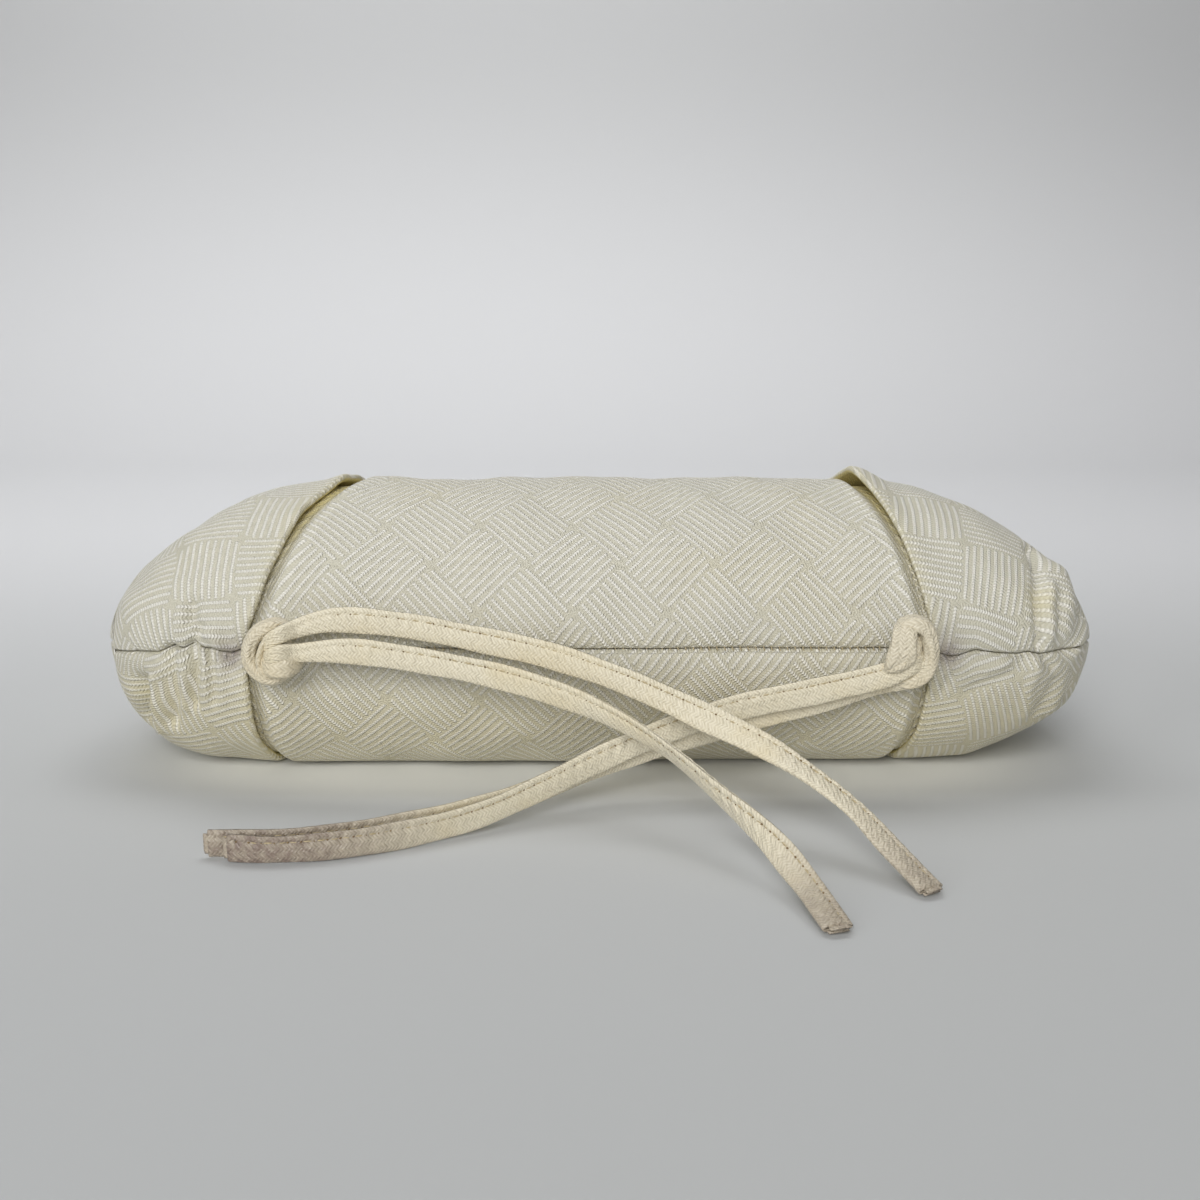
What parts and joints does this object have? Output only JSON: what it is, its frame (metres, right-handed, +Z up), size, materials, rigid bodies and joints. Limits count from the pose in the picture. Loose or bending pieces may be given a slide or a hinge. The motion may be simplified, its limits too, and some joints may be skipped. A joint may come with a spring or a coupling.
{
  "type": "shoulder bag",
  "caption": "Small padded satin shoulder bag with folded base corners, knotted fabric ties at the base seam, a snap flap over the mouth and a soft strap on side rings.",
  "frame": {"origin": "on the table that the bag lies on, under the middle of everything but the ties", "axes": "+X across the bag to the right as seen from the base, +Y from the base seam to the mouth and strap, +Z up through the front panel"},
  "size_m": [0.28, 0.5124, 0.0798],
  "materials": {
    "satin_jacquard": "ivory satin with a woven basket of raised stripes, soft sheen",
    "tie_satin": "cream satin tube, edge stitched, stained at the free ends",
    "lining_satin": "plain cream lining",
    "ring_metal": "pale polished plating"
  },
  "bodies": {
    "bag": {"front_panel": "satin_jacquard", "back_panel": "satin_jacquard", "left_corner_fold_front": "satin_jacquard", "left_corner_fold_back": "satin_jacquard", "right_corner_fold_front": "satin_jacquard", "right_corner_fold_back": "satin_jacquard", "front_mouth_facing": "satin_jacquard", "back_mouth_facing": "satin_jacquard", "front_lining": "lining_satin", "back_lining": "lining_satin", "slip_pocket": "lining_satin", "snap_stud": "ring_metal", "left_side_tab": "satin_jacquard", "right_side_tab": "satin_jacquard", "left_knot": "tie_satin", "right_knot": "tie_satin", "left_tie_upper": "tie_satin", "left_tie_lower": "tie_satin", "right_tie_front": "tie_satin", "right_tie_back": "tie_satin"},
    "flap": {"closing_flap": "satin_jacquard", "snap_socket": "ring_metal"},
    "strap": {"left_ring": "ring_metal", "right_ring": "ring_metal", "left_strap_end": "satin_jacquard", "right_strap_end": "satin_jacquard", "shoulder_strap": "satin_jacquard"}
  },
  "joints": [
    {"name": "flap_open", "type": "hinge", "parent": "bag", "child": "flap", "pos_m": [0, -0.03811, 0.0011], "axis": [-1, 0, 0], "range_deg": [0, 80]},
    {"name": "strap_swing", "type": "hinge", "parent": "bag", "child": "strap", "pos_m": [0, -0.02751, 0.015], "axis": [1, 0, 0], "range_deg": [0, 125]}
  ]
}
